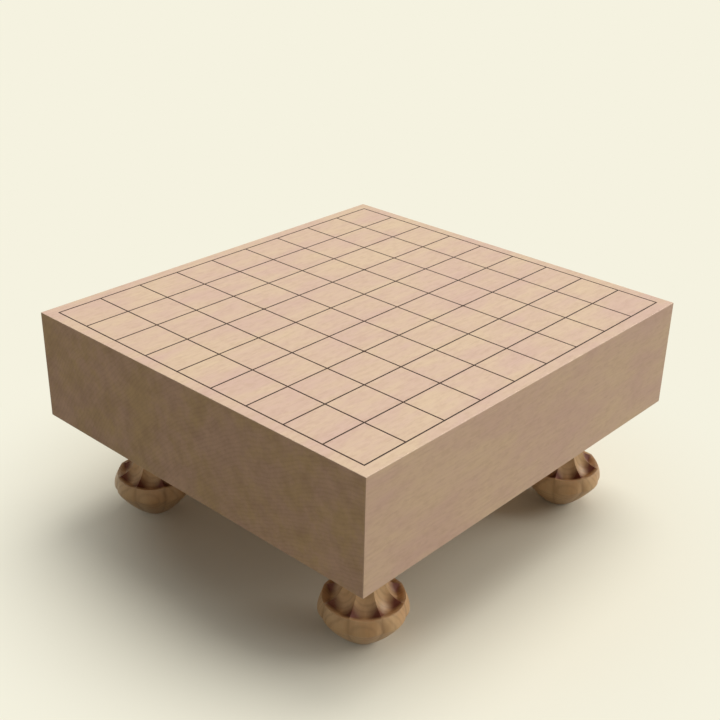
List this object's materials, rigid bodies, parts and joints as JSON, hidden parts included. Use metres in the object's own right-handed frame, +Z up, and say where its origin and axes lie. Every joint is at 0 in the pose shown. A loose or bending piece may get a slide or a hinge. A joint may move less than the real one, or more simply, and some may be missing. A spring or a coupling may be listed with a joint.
{
  "type": "legged shogi board",
  "caption": "Thick solid wood shogi board with a lacquered square grid, standing on carved gardenia-fruit legs that plug into its underside.",
  "frame": {"origin": "on the floor under the middle of the block, in the plane of the feet", "axes": "+X along the board's longer side and the grain, +Y across the grain, +Z up"},
  "size_m": [0.365, 0.3372, 0.1806],
  "materials": {
    "board_wood": "planed and waxed, pale beige with fine straight grain",
    "leg_wood": "carved and waxed, warmer and darker than the block",
    "line_lacquer": "dark brown lacquer, satin"
  },
  "bodies": {
    "board": {"block": "board_wood", "lacquer_grid": "line_lacquer"},
    "leg_front_left": {"leg_front_left": "leg_wood"},
    "leg_front_right": {"leg_front_right": "leg_wood"},
    "leg_back_left": {"leg_back_left": "leg_wood"},
    "leg_back_right": {"leg_back_right": "leg_wood"}
  },
  "joints": [
    {"name": "front_left_leg_pull", "type": "slide", "parent": "board", "child": "leg_front_left", "axis": [0, 0, -1], "range_m": [0, 0.022]},
    {"name": "front_right_leg_pull", "type": "slide", "parent": "board", "child": "leg_front_right", "axis": [0, 0, -1], "range_m": [0, 0.022]},
    {"name": "back_left_leg_pull", "type": "slide", "parent": "board", "child": "leg_back_left", "axis": [0, 0, -1], "range_m": [0, 0.022]},
    {"name": "back_right_leg_pull", "type": "slide", "parent": "board", "child": "leg_back_right", "axis": [0, 0, -1], "range_m": [0, 0.022]}
  ]
}
